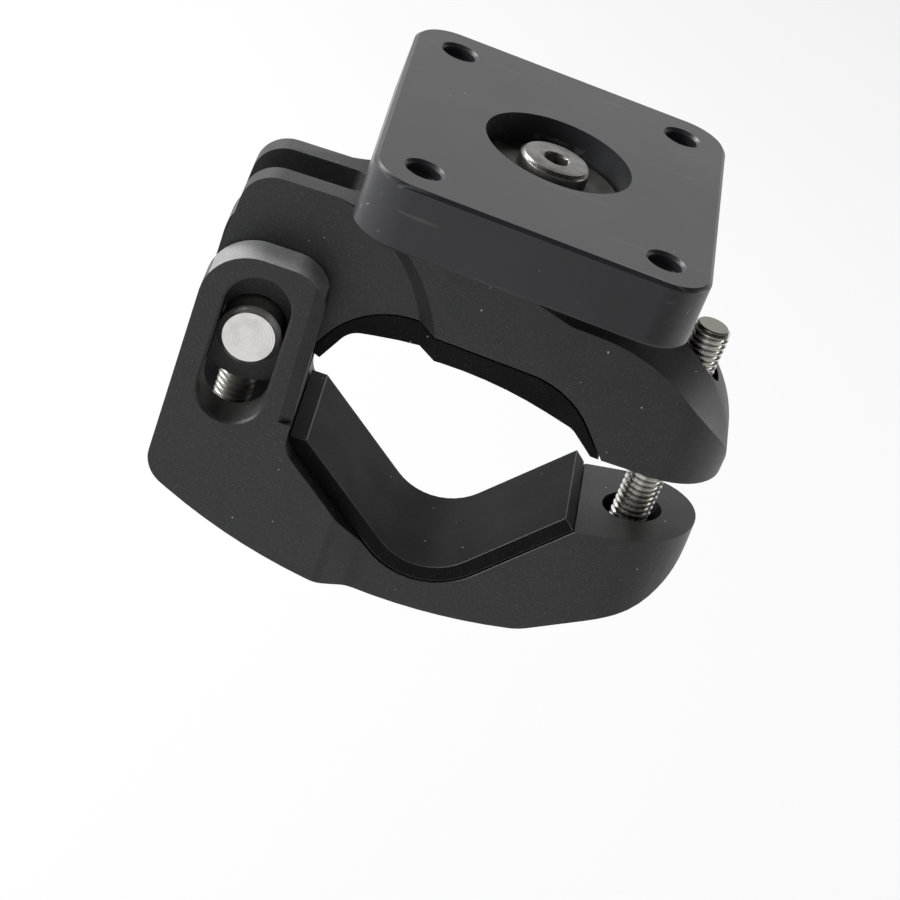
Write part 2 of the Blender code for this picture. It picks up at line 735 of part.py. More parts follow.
def cheek_bevel_cutter(name, side, home):
    """The slanting facet down the outer right edge of one cheek."""
    rings = []
    for level in (CHEEK_BEVEL_END, CHEEK_TOP + OVERCUT):
        edge = cheek_right_at(level)
        rings.append(
            [
                (edge - CHEEK_BEVEL - OVERCUT, side * (CHEEK_HALF + OVERCUT), level),
                (edge + OVERCUT, side * (CHEEK_HALF + OVERCUT), level),
                (edge + OVERCUT, side * (CHEEK_HALF - CHEEK_BEVEL - OVERCUT), level),
            ]
        )
    return loft(name, rings, home)


def make_lower_liner(home):
    floor_in = vee_floor(0)
    floor_out = vee_floor(LINER_THICKNESS)
    left_in = vee_point(-1, VEE_LEFT_LENGTH, 0)
    right_in = vee_point(1, VEE_RIGHT_LENGTH, 0)
    right_out = vee_point(1, VEE_RIGHT_LENGTH, LINER_THICKNESS)
    wall = cheek_right_at(FORK_WALL_TOP) + CONTACT
    left_out = seat_left_end(LINER_THICKNESS, wall)
    corners = [
        (left_in.x, left_in.y, 0),
        (wall, left_in.y, 0),
        (left_out.x, left_out.y, LINER_END_ROUND),
        (floor_out.x, floor_out.y, VEE_ROUND + LINER_THICKNESS),
        (right_out.x, right_out.y, 0),
        (right_in.x, right_in.y, 0),
        (floor_in.x, floor_in.y, VEE_ROUND),
    ]
    liner = along_pipe("lower_liner", outline(corners), -BODY_HALF, BODY_HALF, home)
    finish(liner, *LINER_NYLON)


def make_cross_pin(home):
    half = PIN_LENGTH / 2
    section = [
        (0, half),
        (PIN_RADIUS - PIN_CHAMFER, half),
        (PIN_RADIUS, half - PIN_CHAMFER),
        (PIN_RADIUS, PIN_CHAMFER - half),
        (PIN_RADIUS - PIN_CHAMFER, -half),
        (0, -half),
    ]
    pin = turned("cross_pin", section, home)
    lay_along_y(pin)
    combine(pin, rod("pin_thread", THREAD_RADIUS + RUNNING, -2 * PIN_RADIUS, 2 * PIN_RADIUS, home))
    finish(pin, *STAINLESS)


def make_pin_screw(home):
    seat = frame_at("pin_screw_seat", (0, 0, PIN_HEAD_SEAT))
    seat.parent = home
    seat.rotation_euler.x = math.pi
    screw = socket_screw(
        "pin_screw",
        seat,
        CLAMP_HEAD_RADIUS,
        CLAMP_HEAD_HEIGHT,
        CLAMP_SOCKET,
        PIN_SCREW_LENGTH,
    )
    finish(screw, *STAINLESS)
    ring_seat = frame_at("pin_screw_washer_seat", (0, 0, PIN_WASHER_TOP))
    ring_seat.parent = home
    ring = washer("pin_screw_washer", ring_seat, WASHER_RADIUS, CLEARANCE_HOLE, WASHER_THICKNESS)
    finish(ring, *STAINLESS)


def make_lug_screw():
    seat = frame_at("lug_screw_seat", (LUG_SCREW_X, 0, LUG_HEAD_SEAT))
    seat.rotation_euler.x = math.pi
    screw = socket_screw(
        "lug_screw",
        seat,
        CLAMP_HEAD_RADIUS,
        CLAMP_HEAD_HEIGHT,
        CLAMP_SOCKET,
        LUG_SCREW_LENGTH,
    )
    finish(screw, *STAINLESS)
    ring_seat = frame_at("lug_washer_seat", (LUG_SCREW_X, 0, LUG_WASHER_TOP))
    ring = washer("lug_washer", ring_seat, WASHER_RADIUS, CLEARANCE_HOLE, WASHER_THICKNESS)
    finish(ring, *STAINLESS)
    bush_seat = frame_at("lug_insert_seat", (LUG_SCREW_X, 0, LUG_INSERT_TOP))
    bush = insert("lug_insert", bush_seat, THREAD_RADIUS + THREAD_PLAY, LUG_INSERT_LENGTH - CONTACT)
    finish(bush, *BRASS)


def make_plate_screw():
    ring_seat = frame_at("plate_washer_seat", (0, 0, PLATE_WASHER_TOP))
    ring = washer(
        "plate_washer",
        ring_seat,
        RECESS_RADIUS - CONTACT,
        CLEARANCE_HOLE,
        PLATE_WASHER_THICKNESS,
    )
    finish(ring, *WASHER_STEEL)
    seat = frame_at("plate_screw_seat", (0, 0, PLATE_HEAD_SEAT))
    screw = socket_screw(
        "plate_screw",
        seat,
        PLATE_HEAD_RADIUS,
        PLATE_HEAD_HEIGHT,
        PLATE_SOCKET,
        PLATE_SCREW_LENGTH,
    )
    finish(screw, *DARK_STEEL)
    bush_seat = frame_at("plate_insert_seat", (0, 0, PLATE_INSERT_TOP))
    bush = insert("plate_insert", bush_seat, THREAD_RADIUS + RUNNING, PLATE_INSERT_LENGTH)
    finish(bush, *BRASS)


def main():
    clear_scene()
    swivel = frame_at("swivel_axis", (0, 0, 0))
    jaw_frame = frame_at("pin_axis", (PIN_X, 0, PIN_Z), JAW_LEAN)
    make_plate(swivel)
    make_plate_screw()
    make_upper_jaw()
    make_upper_liner()
    make_lower_jaw(jaw_frame)
    make_lower_liner(jaw_frame)
    make_cross_pin(jaw_frame)
    make_pin_screw(jaw_frame)
    make_lug_screw()


main()
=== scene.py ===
import math

import bmesh
import bpy
from mathutils import Matrix, Vector


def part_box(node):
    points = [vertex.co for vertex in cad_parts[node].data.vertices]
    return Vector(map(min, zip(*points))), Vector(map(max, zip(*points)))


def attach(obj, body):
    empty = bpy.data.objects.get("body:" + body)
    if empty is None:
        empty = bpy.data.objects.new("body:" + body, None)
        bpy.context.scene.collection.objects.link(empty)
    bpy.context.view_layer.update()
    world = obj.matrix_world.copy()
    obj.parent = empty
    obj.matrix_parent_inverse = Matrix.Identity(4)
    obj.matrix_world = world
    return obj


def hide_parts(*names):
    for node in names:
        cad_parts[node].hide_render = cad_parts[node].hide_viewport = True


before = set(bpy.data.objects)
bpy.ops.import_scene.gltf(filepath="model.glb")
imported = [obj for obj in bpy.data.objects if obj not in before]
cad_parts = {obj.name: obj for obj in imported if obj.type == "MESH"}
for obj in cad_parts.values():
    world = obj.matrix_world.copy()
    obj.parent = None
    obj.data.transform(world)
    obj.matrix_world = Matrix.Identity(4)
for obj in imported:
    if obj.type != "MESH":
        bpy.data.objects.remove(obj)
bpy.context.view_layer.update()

mm = 0.001
sameSpot = 0.003 * mm  # corners nearer than this are one
samePoint = 0.001 * mm  # the same, for what this script makes
closeBy = 0.01 * mm  # how near a point lies to be on an arc or a level
print("frame loaded:", ", ".join(sorted(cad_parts)))


# Camera, at the viewing angle of the picture
viewpoint = {
    "place": (-26.559 * mm, -372.336 * mm, 195.937 * mm),
    "right": (0.93429942, 0.11034245, 0.33898249),
    "up": (-0.35020824, 0.46180575, 0.81491695),
    "back": (-0.06662413, -0.8800909, 0.47010768),
    "lens": 133.144,
    "sensor": 36.0,
    "nearest": 10 * mm,
    "farthest": 20.0,
}


def makeCamera():
    data = bpy.data.cameras.new("camera")
    data.lens = viewpoint["lens"]
    data.sensor_width = viewpoint["sensor"]
    data.clip_start = viewpoint["nearest"]
    data.clip_end = viewpoint["farthest"]
    camera = bpy.data.objects.new("camera", data)
    bpy.context.scene.collection.objects.link(camera)
    turn = Matrix((viewpoint["right"], viewpoint["up"], viewpoint["back"])).transposed()
    camera.matrix_world = Matrix.Translation(viewpoint["place"]) @ turn.to_4x4()
    bpy.context.scene.camera = camera


makeCamera()
bpy.context.scene.view_settings.view_transform = "Standard"


# Studio: a pale floor, a white surround, soft boxes and dark cards
studio = {
    "floorLevel": -95 * mm,
    "floorSize": 6.0,
    "floorColor": (0.93, 0.93, 0.93),
    "floorWhite": 0.62,  # how much of the floor is plain white to the eye, the rest takes the shadow
    "surround": 0.25,  # light that the white surround gives the object
    "cardColor": (0.02, 0.02, 0.02),
}
softBoxes = [
    {
        "name": "topBox",
        "place": (-0.40, 0.30, 0.50),
        "size": 0.30,
        "power": 3.5,
        "color": (1.0, 1.0, 1.0),
    },
    {
        "name": "leftBox",
        "place": (-0.80, -0.25, 0.28),
        "size": 0.35,
        "power": 6.0,
        "color": (0.98, 0.99, 1.0),
    },
    {
        "name": "rightBox",
        "place": (0.75, 0.20, 0.15),
        "size": 0.30,
        "power": 2.0,
        "color": (1.0, 0.99, 0.98),
    },
]
shades = [  # dark cards that only reflections meet, overhead, at the right and low in front
    {"name": "overheadShade", "place": (0.60, -0.20, 0.60), "size": (2.4, 1.5), "grey": 0.0},
    {"name": "rightShade", "place": (0.80, 0.50, 0.42), "size": (0.8, 0.7), "grey": 0.0},
    {"name": "frontShade", "place": (0.43, -0.54, -0.085), "size": (0.81, 0.82), "grey": 0.38},
]


def addNode(tree, kind, inputs=None, **settings):
    node = tree.nodes.new("ShaderNode" + kind)
    for key, value in settings.items():
        setattr(node, key, value)
    for key, value in (inputs or {}).items():
        if isinstance(value, bpy.types.NodeSocket):
            tree.links.new(value, node.inputs[key])
        else:
            node.inputs[key].default_value = value
    return node


def maths(tree, operation, first, second):
    return addNode(tree, "Math", {0: first, 1: second}, operation=operation).outputs[0]


def scaled(tree, value, factor):
    return maths(tree, "MULTIPLY", value, factor)


def added(tree, first, second):
    return maths(tree, "ADD", first, second)


def seenDirectly(tree):
    path = addNode(tree, "LightPath")
    either = maths(tree, "MAXIMUM", path.outputs["Is Camera Ray"], path.outputs["Is Glossy Ray"])
    return maths(tree, "MAXIMUM", either, path.outputs["Is Transmission Ray"])


def makeSurround():
    world = bpy.data.worlds.new("surround")
    bpy.context.scene.world = world
    world.use_nodes = True
    tree = world.node_tree
    background = tree.nodes["Background"]
    background.inputs["Color"].default_value = (1, 1, 1, 1)
    strength = addNode(tree, "MapRange", {
        "Value": seenDirectly(tree),
        "To Min": studio["surround"],
        "To Max": 1.0,
    })
    tree.links.new(strength.outputs["Result"], background.inputs["Strength"])


def makeFloor():
    bpy.ops.mesh.primitive_plane_add(size=studio["floorSize"], location=(0, 0, studio["floorLevel"]))
    floor = bpy.context.object
    floor.name = "floor"
    material = bpy.data.materials.new("floorPaint")
    material.use_nodes = True
    tree = material.node_tree
    tree.nodes.remove(tree.nodes["Principled BSDF"])
    paint = addNode(tree, "BsdfDiffuse", {"Color": (*studio["floorColor"], 1)})
    white = addNode(tree, "Emission", {"Color": (1, 1, 1, 1), "Strength": 1.0})
    share = scaled(tree, seenDirectly(tree), studio["floorWhite"])
    mixed = addNode(tree, "MixShader", {0: share, 1: paint.outputs[0], 2: white.outputs[0]})
    clear = addNode(tree, "BsdfTransparent")
    behind = addNode(tree, "NewGeometry").outputs["Backfacing"]
    oneSided = addNode(tree, "MixShader", {0: behind, 1: mixed.outputs[0], 2: clear.outputs[0]})
    tree.links.new(oneSided.outputs[0], tree.nodes["Material Output"].inputs["Surface"])
    floor.data.materials.append(material)


def makeCard(shade):
    bpy.ops.mesh.primitive_plane_add(size=1.0)
    card = bpy.context.object
    card.name = shade["name"]
    card.data.transform(Matrix.Diagonal((*shade["size"], 1, 1)))
    card.location = shade["place"]
    card.visible_camera = False
    card.visible_diffuse = False
    card.visible_shadow = False
    card.visible_transmission = False
    cloth = bpy.data.materials.new(shade["name"])
    cloth.use_nodes = True
    paint = cloth.node_tree.nodes["Principled BSDF"]
    paint.inputs["Base Color"].default_value = (*studio["cardColor"], 1)
    paint.inputs["Roughness"].default_value = 1.0
    paint.inputs["Emission Color"].default_value = (1, 1, 1, 1)
    paint.inputs["Emission Strength"].default_value = shade["grey"]
    card.data.materials.append(cloth)


def makeLamp(box):
    data = bpy.data.lights.new(box["name"], "AREA")
    data.shape = "SQUARE"
    data.size = box["size"]
    data.energy = box["power"]
    data.color = box["color"]
    lamp = bpy.data.objects.new(box["name"], data)
    bpy.context.scene.collection.objects.link(lamp)
    lamp.location = box["place"]
    lamp.rotation_euler = (-Vector(box["place"])).to_track_quat("-Z", "Y").to_euler()


makeSurround()
makeFloor()
for shade in shades:
    makeCard(shade)
for box in softBoxes:
    makeLamp(box)
print("studio ready")


# Shared parts of the materials
dustColor = (0.62, 0.62, 0.60)
dustRoughness = 0.3
dustSmear = 0.25
scratchColor = (0.11, 0.11, 0.11)


def startMaterial(name, looks, metallic):
    material = bpy.data.materials.new(name)
    material.use_nodes = True
    tree = material.node_tree
    shader = tree.nodes["Principled BSDF"]
    shader.inputs["Base Color"].default_value = (*looks["color"], 1)
    shader.inputs["Roughness"].default_value = looks["roughness"]
    shader.inputs["Metallic"].default_value = metallic
    shader.inputs["Specular IOR Level"].default_value = looks["specular"]
    place = addNode(tree, "TexCoord").outputs["Object"]
    return material, tree, shader, place


def noise(tree, place, perMetre, detail, roughness=0.5):
    inputs = {"Vector": place, "Scale": perMetre, "Detail": detail, "Roughness": roughness}
    return addNode(tree, "TexNoise", inputs).outputs["Fac"]


def specks(tree, place, perMetre, radius, share, smear=0.0):
    if smear:
        wobble = addNode(tree, "TexNoise", {"Vector": place, "Scale": perMetre * 4, "Detail": 1.0})
        inputs = {0: wobble.outputs["Color"], "Scale": smear / perMetre}
        shift = addNode(tree, "VectorMath", inputs, operation="SCALE").outputs[0]
        place = addNode(tree, "VectorMath", {0: place, 1: shift}, operation="ADD").outputs[0]
    cells = addNode(tree, "TexVoronoi", {"Vector": place, "Scale": perMetre}, feature="F1")
    reach = radius * perMetre
    near = stretch(tree, cells.outputs["Distance"], 0.6 * reach, reach, 1.0, 0.0)
    pick = addNode(tree, "SeparateColor", {"Color": cells.outputs["Color"]}).outputs[0]
    return scaled(tree, near, maths(tree, "GREATER_THAN", pick, 1.0 - share))


def overlay(tree, under, color, amount):
    if not isinstance(under, bpy.types.NodeSocket):
        under = (*under, 1)
    mix = addNode(tree, "Mix", data_type="RGBA")  # its sockets 6 and 7 are the colours, and 2 the mixed one
    for socket, value in ((mix.inputs[0], amount), (mix.inputs[6], under), (mix.inputs[7], (*color, 1))):
        if isinstance(value, bpy.types.NodeSocket):
            tree.links.new(value, socket)
        else:
            socket.default_value = value
    return mix.outputs[2]


def stretch(tree, value, low, high, lowest, highest):
    node = addNode(tree, "MapRange", {
        "Value": value,
        "From Min": low,
        "From Max": high,
        "To Min": lowest,
        "To Max": highest,
    })
    return node.outputs[0]


def giveBump(tree, shader, height, strength, distance):
    bump = addNode(tree, "Bump", {"Height": height, "Strength": strength, "Distance": distance})
    tree.links.new(bump.outputs["Normal"], shader.inputs["Normal"])


# Moulded plastic: a fine grain, fibres, clouds and dust
def moulded(name, looks):
    material, tree, shader, place = startMaterial(name, looks, 0.0)
    clouds = noise(tree, place, looks["cloudsPerMetre"], 4.0)
    grain = noise(tree, place, looks["grainPerMetre"], 3.0, 0.65)
    fibres = specks(tree, place, looks["fibrePerMetre"], looks["fibreSize"], looks["fibreShare"])
    dust = specks(tree, place, looks["dustPerMetre"], looks["dustSize"], looks["dustShare"], dustSmear)
    lighter = tuple(part * 1.7 + 0.004 for part in looks["color"])
    color = overlay(tree, looks["color"], lighter, stretch(tree, clouds, 0.35, 0.7, 0.0, 0.6))
    color = overlay(tree, color, lighter, stretch(tree, grain, 0.45, 0.75, 0.0, looks["grainShow"]))
    color = overlay(tree, color, looks["fibreColor"], scaled(tree, fibres, looks["fibreShow"]))
    color = overlay(tree, color, dustColor, scaled(tree, dust, looks["dustShow"]))
    tree.links.new(color, shader.inputs["Base Color"])
    cloudy = stretch(tree, clouds, 0.3, 0.7, looks["roughness"] - 0.05, looks["roughness"] + 0.05)
    tree.links.new(added(tree, cloudy, scaled(tree, dust, dustRoughness)), shader.inputs["Roughness"])
    height = added(tree, grain, scaled(tree, dust, 0.8))
    giveBump(tree, shader, height, looks["grainStrength"], looks["grainHeight"])
    return material


jawLooks = {
    "color": (0.0095, 0.0095, 0.0102),
    "roughness": 0.46,
    "specular": 0.5,
    "cloudsPerMetre": 140.0,
    "grainPerMetre": 7000.0,
    "grainHeight": 0.028 * mm,
    "grainStrength": 0.8,
    "grainShow": 0.8,
    "fibrePerMetre": 5200.0,
    "fibreSize": 0.055 * mm,
    "fibreShare": 0.30,
    "fibreShow": 0.45,
    "fibreColor": (0.20, 0.20, 0.20),
    "dustPerMetre": 620.0,
    "dustSize": 0.12 * mm,
    "dustShare": 0.20,
    "dustShow": 0.8,
}
jawNylon = moulded("jawNylon", jawLooks)
# lighter, glossier colour for the broken edges: partly wear, partly a painted highlight along them
edgeWearAndHighlightLooks = dict(
    jawLooks,
    color=(0.024, 0.024, 0.025),
    roughness=0.42,
    fibreShare=0.45,
    grainHeight=0.016 * mm,
)
jawEdgeWearAndHighlight = moulded("jawEdgeWearAndHighlight", edgeWearAndHighlightLooks)
# upward faces of the lower jaw's cheeks: a coarser grain, and a colour twenty times lighter that is painted
# light from above
grainedPaintedLightLooks = dict(
    jawLooks,
    color=(0.200, 0.200, 0.198),
    roughness=0.62,
    grainPerMetre=4200.0,
    grainHeight=0.060 * mm,
    grainShow=1.0,
    fibreShare=0.55,
    fibreShow=0.85,
    fibreColor=(0.42, 0.42, 0.41),
)
jawGrainedPaintedLight = moulded("jawGrainedPaintedLight", grainedPaintedLightLooks)
# black nylon, made darker and less glossy than the jaws as painted shade from the pipe they grip
linerPaintedShadeLooks = dict(
    jawLooks,
    color=(0.0045, 0.0045, 0.0050),
    roughness=0.50,
    specular=0.07,
    grainHeight=0.008 * mm,
    grainShow=0.4,
    fibreShow=0.2,
    dustShare=0.16,
)
linerNylonPaintedShade = moulded("linerNylonPaintedShade", linerPaintedShadeLooks)


# Machined plastic: satin, with thin scratches and dust
plateLooks = {
    "color": (0.0170, 0.0170, 0.0192),
    "roughness": 0.34,
    "specular": 0.5,
    "cloudsPerMetre": 60.0,
    "grainPerMetre": 9000.0,
    "grainHeight": 0.004 * mm,
    "dustPerMetre": 560.0,
    "dustSize": 0.10 * mm,
    "dustShare": 0.13,
    "scratches": ((0.35, 30.0), (1.25, 45.0), (2.3, 22.0)),  # turn, and waves a metre along each
}


def scratched(tree, place, runs):
    scratches = 0.0
    for turn, along in runs:
        laid = addNode(tree, "Mapping", {
            "Vector": place,
            "Rotation": (0.3 * turn, 0.2, turn),
            "Scale": (along, 1500.0, 700.0),
        })
        thin = stretch(tree, noise(tree, laid.outputs[0], 1.0, 1.0), 0.735, 0.77, 0.0, 1.0)
        scratches = maths(tree, "MAXIMUM", scratches, thin)
    return scratches


def machined(name, looks):
    material, tree, shader, place = startMaterial(name, looks, 0.0)
    clouds = noise(tree, place, looks["cloudsPerMetre"], 5.0)
    grain = noise(tree, place, looks["grainPerMetre"], 2.0)
    dust = specks(tree, place, looks["dustPerMetre"], looks["dustSize"], looks["dustShare"], dustSmear)
    scratches = scratched(tree, place, looks["scratches"])
    lighter = tuple(part * 1.35 for part in looks["color"])
    color = overlay(tree, looks["color"], lighter, stretch(tree, clouds, 0.35, 0.7, 0.0, 1.0))
    color = overlay(tree, color, scratchColor, scaled(tree, scratches, 0.45))
    color = overlay(tree, color, dustColor, scaled(tree, dust, 0.75))
    tree.links.new(color, shader.inputs["Base Color"])
    cloudy = stretch(tree, clouds, 0.3, 0.7, looks["roughness"] - 0.04, looks["roughness"] + 0.05)
    tree.links.new(added(tree, cloudy, scaled(tree, dust, dustRoughness)), shader.inputs["Roughness"])
    giveBump(tree, shader, added(tree, grain, scaled(tree, dust, 2.0)), 0.6, looks["grainHeight"])
    return material


plateAcetal = machined("plateAcetal", plateLooks)
# lighter colour for the plate's broken edges: partly wear, partly a painted highlight along them
plateEdgeWearAndHighlight = machined("plateEdgeWearAndHighlight", dict(plateLooks, color=(0.060, 0.060, 0.064), roughness=0.30))


# Turned metal: rings about the piece's own middle line, stains, and a thread that darkens towards its root
def turnedMetal(name, node, looks):
    material, tree, shader, place = startMaterial(name, looks, 1.0)
    low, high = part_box(node)
    middle = (Vector(low) + Vector(high)) / 2
    across = addNode(tree, "VectorMath", {0: place, 1: tuple(-middle)}, operation="ADD").outputs[0]
    flat = addNode(tree, "VectorMath", {0: across, 1: looks["flatten"]}, operation="MULTIPLY").outputs[0]
    radius = addNode(tree, "VectorMath", {0: flat}, operation="LENGTH").outputs["Value"]
    wobble = scaled(tree, noise(tree, place, 900.0, 2.0), looks["markWobble"])
    phase = added(tree, scaled(tree, radius, 2 * math.pi / looks["markPitch"]), wobble)
    marks = addNode(tree, "Math", {0: phase}, operation="SINE").outputs[0]
    fine = noise(tree, place, 5200.0, 3.0)
    stain = noise(tree, place, 650.0, 4.0)
    darker = tuple(part * looks["stainDepth"] for part in looks["color"])
    color = overlay(tree, looks["color"], darker, stretch(tree, stain, 0.45, 0.7, 0.0, 1.0))
    if "grooveFrom" in looks:  # darker towards the root of the thread
        rootDarkening = stretch(tree, radius, looks["grooveFrom"], looks["grooveTo"], 0.9, 0.0)
        color = overlay(tree, color, looks["grooveColor"], rootDarkening)
    tree.links.new(color, shader.inputs["Base Color"])
    rough = stretch(tree, fine, 0.3, 0.7, looks["roughness"] - 0.06, looks["roughness"] + 0.08)
    tree.links.new(rough, shader.inputs["Roughness"])
    height = added(tree, scaled(tree, marks, looks["markShow"]), scaled(tree, fine, 0.15))
    giveBump(tree, shader, height, 0.7, looks["markHeight"])
    return material


steelLooks = {
    "color": (0.76, 0.75, 0.72),
    "roughness": 0.29,
    "specular": 0.5,
    "flatten": (1.0, 1.0, 0.0),
    "markPitch": 0.20 * mm,
    "markWobble": 1.2,
    "markShow": 1.0,
    "markHeight": 0.005 * mm,
    "stainDepth": 0.86,
}
pinLooks = dict(
    steelLooks,
    flatten=(1.0, 0.0, 1.0),
    markPitch=0.42 * mm,
    markHeight=0.008 * mm,
    markWobble=3.5,
    roughness=0.34,
)
pinSteel = turnedMetal("pinSteel", "cross_pin", pinLooks)
screwLooks = dict(steelLooks, markShow=0.2, roughness=0.24)
darkRootLooks = dict(
    screwLooks,
    grooveFrom=2.05 * mm,
    grooveTo=2.24 * mm,
    grooveColor=(0.16, 0.15, 0.12),
)
lugScrewSteel = turnedMetal("lugScrewSteel", "lug_screw", darkRootLooks)
dullLooks = dict(screwLooks, color=(0.42, 0.41, 0.38), roughness=0.36)
pinScrewSteel = turnedMetal("pinScrewSteel", "pin_screw", dullLooks)
washerSteel = turnedMetal("washerSteel", "lug_washer", dict(steelLooks, roughness=0.34))
recessLooks = dict(
    steelLooks,
    color=(0.125, 0.128, 0.115),
    roughness=0.52,
    markShow=0.5,
    stainDepth=0.6,
)
recessSteel = turnedMetal("recessSteel", "plate_washer", recessLooks)
darkLooks = dict(
    steelLooks,
    color=(0.24, 0.235, 0.225),
    roughness=0.36,
    markShow=0.4,
    stainDepth=0.6,
)
darkSteel = turnedMetal("darkSteel", "plate_screw", darkLooks)
darkSteelRim = turnedMetal("darkSteelRim", "plate_screw", dict(darkLooks, roughness=0.30))
brass = turnedMetal("brass", "lug_insert", dict(steelLooks, color=(0.66, 0.47, 0.22), roughness=0.33))
print("materials ready")


# Shared parts of the shapes
def linked(name, work, material):
    mesh = bpy.data.meshes.new(name)
    work.to_mesh(mesh)
    work.free()
    item = bpy.data.objects.new(name, mesh)
    bpy.context.scene.collection.objects.link(item)
    mesh.materials.append(material)
    return item


def applied(item):
    bpy.context.view_layer.update()
    finished = item.evaluated_get(bpy.context.evaluated_depsgraph_get())
    mesh = bpy.data.meshes.new_from_object(finished)
    item.modifiers.clear()
    item.data = mesh


def cutWith(item, tool, operation):
    change = item.modifiers.new(operation.lower(), "BOOLEAN")
    change.operation = operation
    change.solver = "EXACT"
    change.object = tool
    applied(item)
    bpy.data.objects.remove(tool, do_unlink=True)


def smoothed(mesh, sharpFrom):
    mesh.shade_smooth()
    mesh.set_sharp_from_angle(angle=math.radians(sharpFrom))


def cleaned(mesh, apart, flatness):
    work = bmesh.new()
    work.from_mesh(mesh)
    bmesh.ops.remove_doubles(work, verts=work.verts, dist=apart)
    bmesh.ops.dissolve_limit(work, angle_limit=math.radians(flatness), verts=work.verts, edges=work.edges)
    return work


# The upper jaw's lug rises from its two faces to a broad crest round the clamp screw
lugCrest = {
    "half": 9.25 * mm,
    "crestHalf": 3.46 * mm,
    "start": 5.0 * mm,
    "faceArc": (12.53 * mm, 0.50 * mm, 23.15 * mm),  # centre in X and Z, and radius, at the faces
    "crestArc": (14.99 * mm, 6.76 * mm, 19.22 * mm),  # the same on the crest
    "arcSteps": 26,
    "underNear": (22.0 * mm, 8.117 * mm),
    "underFar": 8.63 * mm,
    "inside": 17.0 * mm,
    "noseCentre": 25.17 * mm,
    "noseTip": 33.95 * mm,
    "noseSides": 96,
    "trimBack": 0.05 * mm,  # the solid's own nose ends this much before the tip
    "spare": 0.02 * mm,
    "mergeWithin": 0.2 * mm,
    "flatWithin": 0.3,
    "behind": -60 * mm,
    "below": -20 * mm,
    "tall": 60 * mm,
    "screw": 25.85 * mm,
    "bore": 3.32 * mm,
    "boreTop": 30 * mm,
    "boreSides": 72,
    "pocket": 4.27 * mm,
    "pocketTop": 13.9 * mm,
}
quarter = math.pi / 2


def arcStart(arc):
    return math.asin((lugCrest["underFar"] - arc[1]) / arc[2])


def carried(point, fromArc, toArc):
    if point.x < fromArc[0] - closeBy:
        if point.z > lugCrest["inside"] + mm:
            point.z = toArc[1] + toArc[2]
        return
    if math.hypot(point.x - fromArc[0], point.z - fromArc[1]) < fromArc[2] - closeBy:
        return
    angle = math.atan2(point.z - fromArc[1], point.x - fromArc[0])
    share = (angle - arcStart(fromArc)) / (quarter - arcStart(fromArc))
    angle = arcStart(toArc) + share * (quarter - arcStart(toArc))
    point.x = toArc[0] + toArc[2] * math.cos(angle)
    point.z = toArc[1] + toArc[2] * math.sin(angle)


def crestRing(work):
    across, level, radius = lugCrest["faceArc"]
    half = lugCrest["half"]
    low = arcStart(lugCrest["faceArc"])
    first = work.verts.new((across + radius * math.cos(low), -half, level + radius * math.sin(low)))
    bmesh.ops.spin(
        work,
        geom=[first],
        cent=(across, 0, level),
        axis=(0, 1, 0),
        angle=low - quarter,
        steps=lugCrest["arcSteps"],
    )
    bmesh.ops.remove_doubles(work, verts=work.verts, dist=samePoint)
    chain = sorted(work.verts, key=lambda vert: vert.co.z)
    nearX, nearZ = lugCrest["underNear"]
    corners = (
        (lugCrest["start"], chain[-1].co.z),
        (lugCrest["start"], lugCrest["inside"]),
        (nearX, lugCrest["inside"]),
        (nearX, nearZ),
    )
    return work.faces.new(chain + [work.verts.new((x, -half, z)) for x, z in corners])


def crestBlock():
    face = lugCrest["faceArc"]
    crest = lugCrest["crestArc"]
    half = lugCrest["half"]
    slope = half - lugCrest["crestHalf"]
    stages = ((slope, face, crest), (2 * lugCrest["crestHalf"], None, None), (slope, crest, face))
    work = bmesh.new()
    ring = crestRing(work)
    for depth, fromArc, toArc in stages:
        made = bmesh.ops.extrude_face_region(work, geom=[ring], use_keep_orig=True)
        if ring.calc_center_median().y > 0.1 * mm - half:  # only the first ring stays as a face
            bmesh.ops.delete(work, geom=[ring], context="FACES_ONLY")
        ring = next(item for item in made["geom"] if isinstance(item, bmesh.types.BMFace))
        bmesh.ops.translate(work, verts=ring.verts, vec=(0, depth, 0))
        if fromArc:
            for vert in ring.verts:
                carried(vert.co, fromArc, toArc)
    bmesh.ops.recalc_face_normals(work, faces=work.faces)
    return linked("crestBlock", work, jawNylon)


def nosePlan(name, tip):
    centre = lugCrest["noseCentre"]
    work = bmesh.new()
    bmesh.ops.create_circle(work, cap_ends=True, segments=lugCrest["noseSides"], radius=1.0)
    bmesh.ops.scale(work, verts=work.verts, vec=(tip - centre, lugCrest["half"] + lugCrest["spare"], 1))
    for vert in work.verts:
        vert.co.x = vert.co.x + centre if vert.co.x > samePoint else lugCrest["behind"]
    made = bmesh.ops.extrude_face_region(work, geom=list(work.faces), use_keep_orig=True)
    raised = [item for item in made["geom"] if isinstance(item, bmesh.types.BMVert)]
    bmesh.ops.translate(work, verts=raised, vec=(0, 0, lugCrest["tall"]))
    bmesh.ops.translate(work, verts=work.verts, vec=(0, 0, lugCrest["below"]))
    bmesh.ops.remove_doubles(work, verts=work.verts, dist=samePoint)
    bmesh.ops.recalc_face_normals(work, faces=work.faces)
    return linked(name, work, jawNylon)


def prism(name, sides, radius, low, high, across, material):
    work = bmesh.new()
    bmesh.ops.create_cone(
        work,
        cap_ends=True,
        segments=sides,
        radius1=radius,
        radius2=radius,
        depth=high - low,
    )
    bmesh.ops.translate(work, verts=work.verts, vec=(across, 0, (low + high) / 2))
    return linked(name, work, material)


